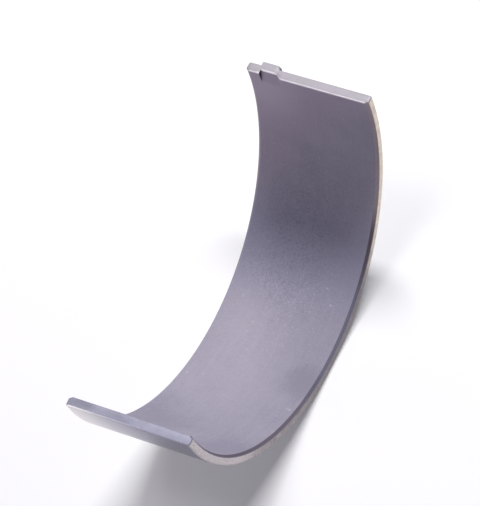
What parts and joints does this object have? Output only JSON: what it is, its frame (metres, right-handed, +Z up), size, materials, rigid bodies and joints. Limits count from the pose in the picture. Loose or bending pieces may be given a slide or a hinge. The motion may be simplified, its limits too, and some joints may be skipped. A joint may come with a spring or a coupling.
{
  "type": "engine bearing shell",
  "caption": "Half-round plain bearing shell of thin coated steel with a pressed locating lug at one parting face; lines the bore that carries an engine's crank journal.",
  "frame": {"origin": "on the lowest line of the round back, half way along the bearing's width and below the bearing's axis", "axes": "+Z up through the open side of the shell, +Y along the bearing's axis, +X towards the parting face that carries the locating lug"},
  "size_m": [0.0606, 0.0206, 0.0285],
  "materials": {
    "coated_steel": "satin purple-grey overlay on the running surface, pale machined steel on the parting faces and sides"
  },
  "bodies": {
    "root": {"bearing_shell": "coated_steel"}
  },
  "joints": []
}
